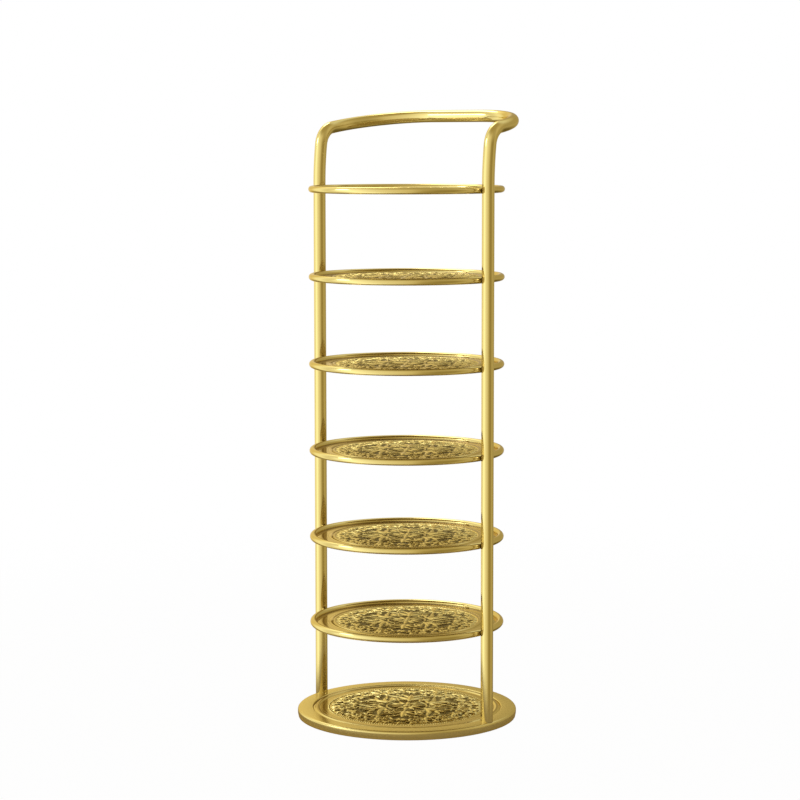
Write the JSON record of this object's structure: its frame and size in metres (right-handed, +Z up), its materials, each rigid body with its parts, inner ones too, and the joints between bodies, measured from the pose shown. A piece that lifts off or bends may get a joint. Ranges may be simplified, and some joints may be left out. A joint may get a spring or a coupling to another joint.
{
  "type": "vertical shoe rack",
  "caption": "Free-standing round shoe rack: embossed trays in tube rings between two posts that run on into a hoop handle, on a round base.",
  "frame": {"origin": "centre of the round base, on the floor", "axes": "+X from the left post to the right post, +Y to the back, where the hoop handle is, +Z up"},
  "size_m": [0.397, 0.397, 1.0938],
  "materials": {
    "gold_tube": "polished gold plating on steel tube",
    "gold_sheet": "polished gold plating on pressed steel sheet",
    "gold_weld": "gold plating over dressed welds",
    "zinc_steel": "bright zinc plating",
    "bottom_paint": "black satin powder coat",
    "pad_rubber": "matt black rubber"
  },
  "bodies": {
    "root": {"base_pan": "gold_sheet", "base_plate": "gold_sheet", "tray_plate_1": "gold_sheet", "tray_plate_2": "gold_sheet", "tray_plate_3": "gold_sheet", "tray_plate_4": "gold_sheet", "tray_plate_5": "gold_sheet", "tray_plate_6": "gold_sheet", "post_left": "gold_tube", "post_right": "gold_tube", "hoop_handle": "gold_tube", "tray_ring_1": "gold_tube", "tray_ring_2": "gold_tube", "tray_ring_3": "gold_tube", "tray_ring_4": "gold_tube", "tray_ring_5": "gold_tube", "tray_ring_6": "gold_tube", "post_welds_1": "gold_weld", "post_welds_2": "gold_weld", "post_welds_3": "gold_weld", "post_welds_4": "gold_weld", "post_welds_5": "gold_weld", "post_welds_6": "gold_weld", "plate_tacks_1": "gold_weld", "plate_tacks_2": "gold_weld", "plate_tacks_3": "gold_weld", "plate_tacks_4": "gold_weld", "plate_tacks_5": "gold_weld", "plate_tacks_6": "gold_weld", "post_plugs": "zinc_steel", "backing_plates": "zinc_steel", "foot_washers": "zinc_steel", "foot_bolts": "zinc_steel", "base_studs": "zinc_steel", "base_washers": "zinc_steel", "base_nuts": "zinc_steel", "pad_screws": "zinc_steel", "bottom_plate": "bottom_paint", "floor_pads": "pad_rubber"}
  },
  "joints": []
}
